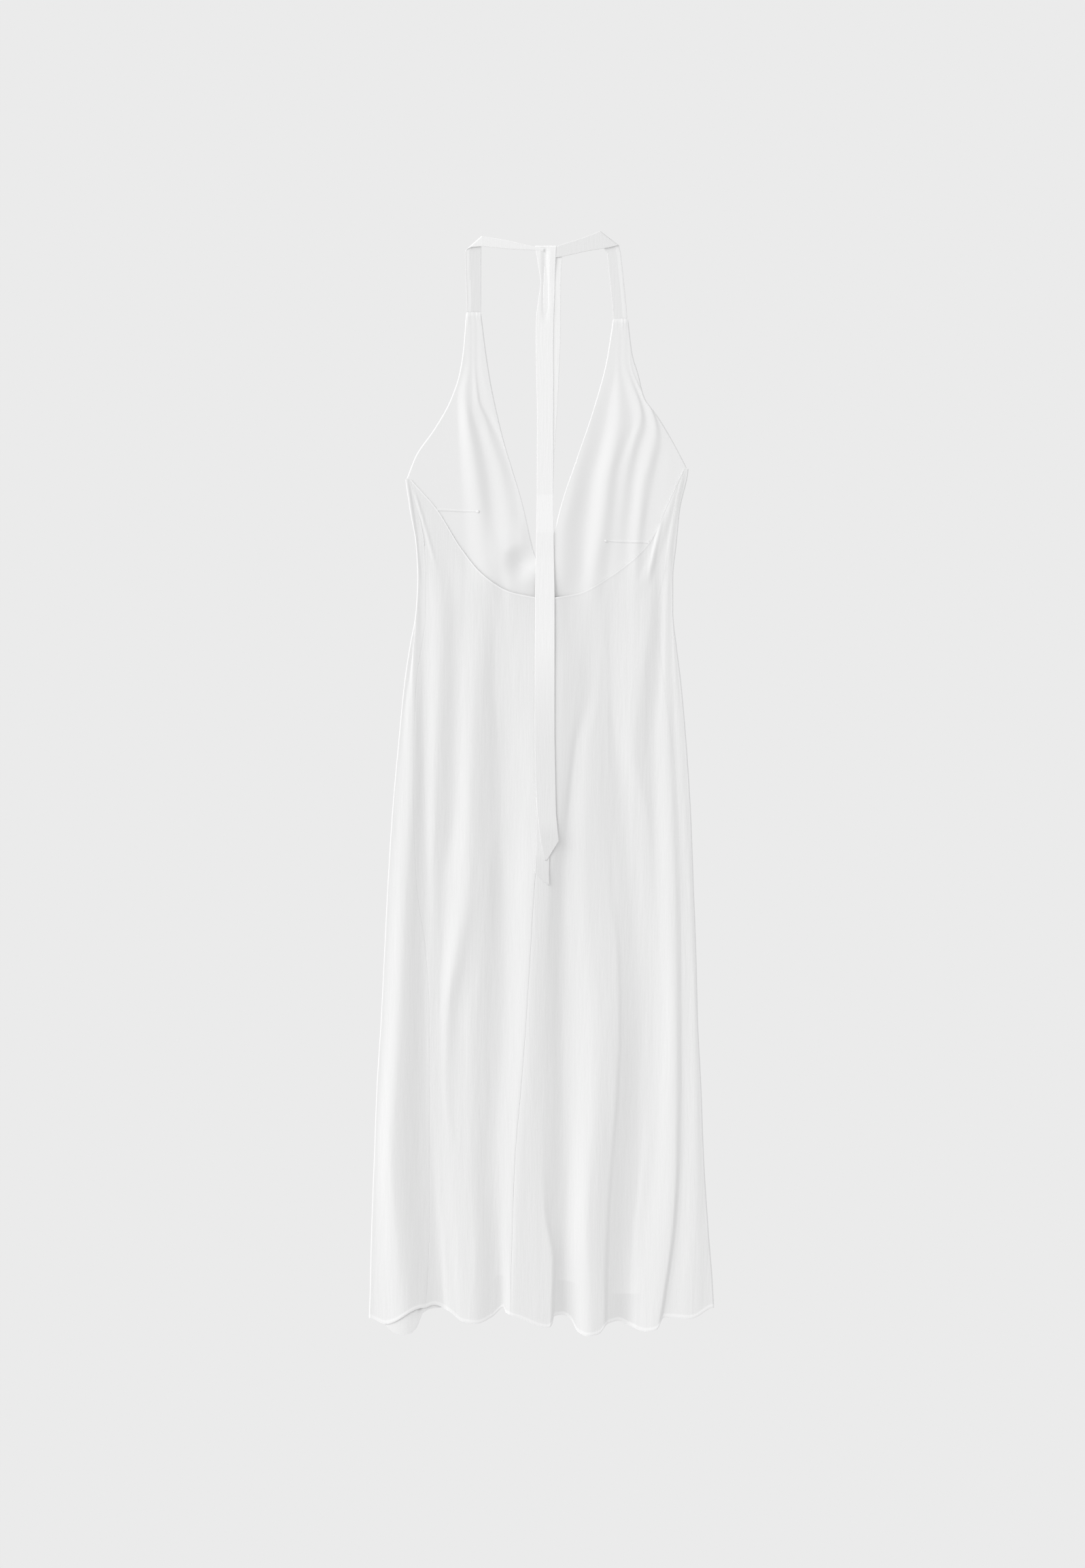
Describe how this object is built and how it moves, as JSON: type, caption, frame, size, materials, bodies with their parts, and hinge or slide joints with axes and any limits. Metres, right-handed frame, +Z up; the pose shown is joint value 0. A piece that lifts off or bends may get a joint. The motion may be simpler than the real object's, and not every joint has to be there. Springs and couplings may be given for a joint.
{
  "type": "halter dress",
  "caption": "Long sleeveless halter dress laid flat on its front, with a plunging front, low scooped back, neck ties knotted behind, soft skirt folds and a lining",
  "frame": {"origin": "middle of the laid-out dress's outline, on the surface that it lies on", "axes": "+Y from the hem to the neck, +X to the right as seen from above, +Z up from the surface, out of the back of the dress"},
  "size_m": [0.4056, 1.2993, 0.0139],
  "materials": {
    "crepe": "matt white crinkled crepe, slightly sheer",
    "satin_lining": "smooth white lining with a soft sheen"
  },
  "bodies": {
    "root": {"front": "crepe", "front_lining": "satin_lining", "back_left": "crepe", "back_right": "crepe", "tie_left": "crepe", "tie_right": "crepe", "tie_tail_under": "crepe", "tie_tail_over": "crepe"}
  },
  "joints": []
}
